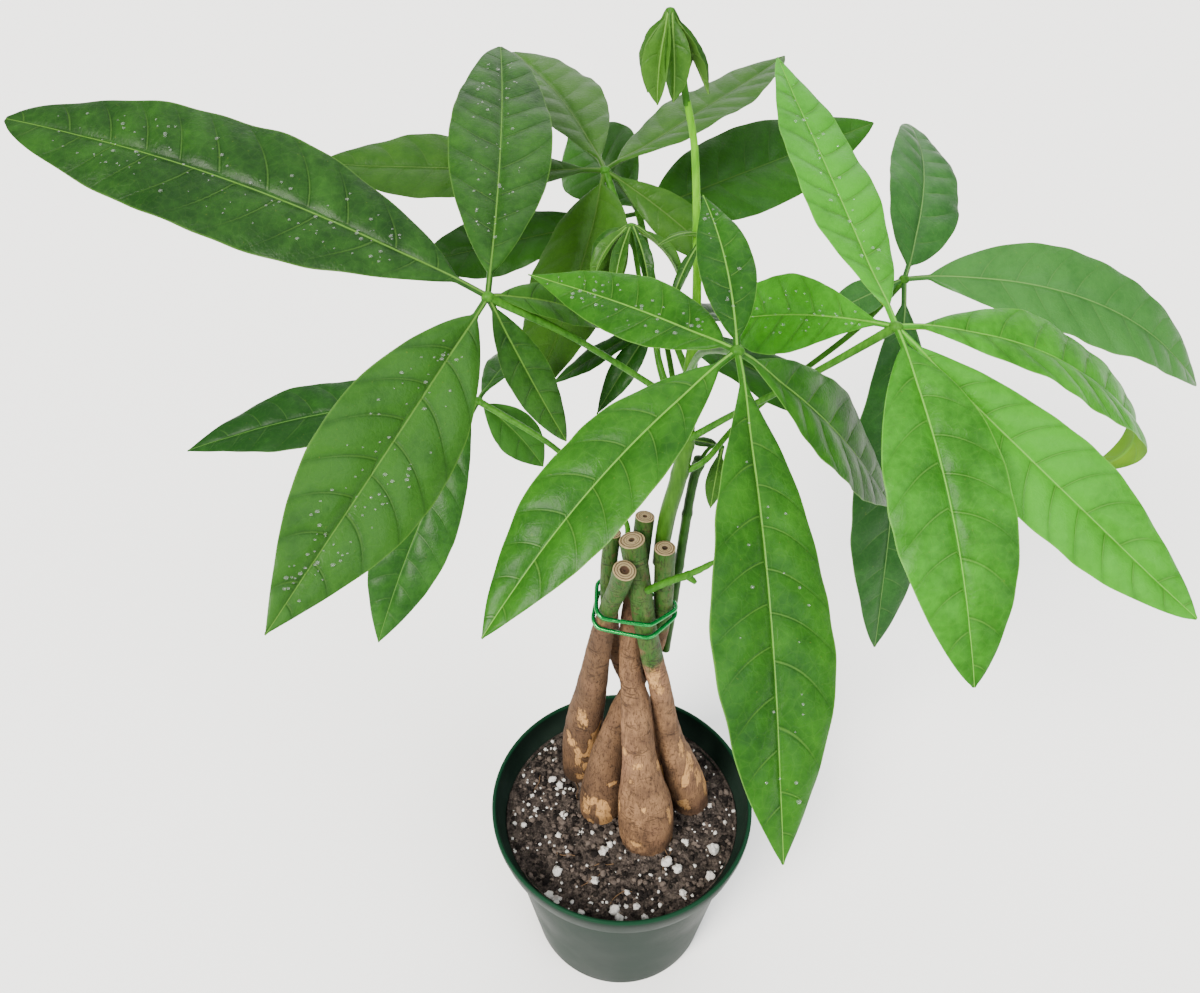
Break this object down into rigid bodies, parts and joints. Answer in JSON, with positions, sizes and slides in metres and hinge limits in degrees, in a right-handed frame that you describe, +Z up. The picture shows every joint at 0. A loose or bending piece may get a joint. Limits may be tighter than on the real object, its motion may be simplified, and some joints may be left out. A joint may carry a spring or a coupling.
{
  "type": "potted money tree",
  "caption": "A money tree in a nursery pot: tied bare trunks with swollen feet rise from soil and carry shoots of palmate leaves with long drooping leaflets.",
  "frame": {"origin": "the centre of the pot's flat underside", "axes": "+Z is up, out of the pot; -Y faces the viewer of the picture; +X is the viewer's right"},
  "size_m": [0.4021, 0.3126, 0.4606],
  "materials": {
    "pot_plastic": "dark green moulded plastic, slightly worn sheen",
    "soil": "rough dark potting mix with white perlite grains",
    "bark": "matt tan bark with fine cracks and pale peeled patches",
    "tie": "shiny green metallic wire",
    "stem": "smooth light green living stem",
    "dark_stem": "smooth dark green living stem",
    "leaf_bright": "glossy living leaf with pale midrib",
    "leaf_dark": "slightly glossy living leaf, darker green"
  },
  "bodies": {
    "root": {"pot": "pot_plastic", "soil": "soil", "trunk_left": "bark", "trunk_front": "bark", "trunk_right": "bark", "trunk_middle": "bark", "trunk_back": "bark", "tie_wire": "tie", "shoot_main": "stem", "shoot_side": "dark_stem", "broken_twig": "stem", "leaf_left": "leaf_bright", "leaf_front": "leaf_bright", "leaf_right": "leaf_bright", "leaf_far_right": "leaf_dark", "leaf_back": "leaf_dark", "leaf_back_low": "leaf_dark", "leaf_centre": "leaf_dark", "leaf_left_low": "leaf_dark", "leaf_small": "leaf_bright", "leaf_bud": "leaf_bright", "young_leaf_back": "leaf_bright", "young_leaf_top": "leaf_bright"}
  },
  "joints": []
}
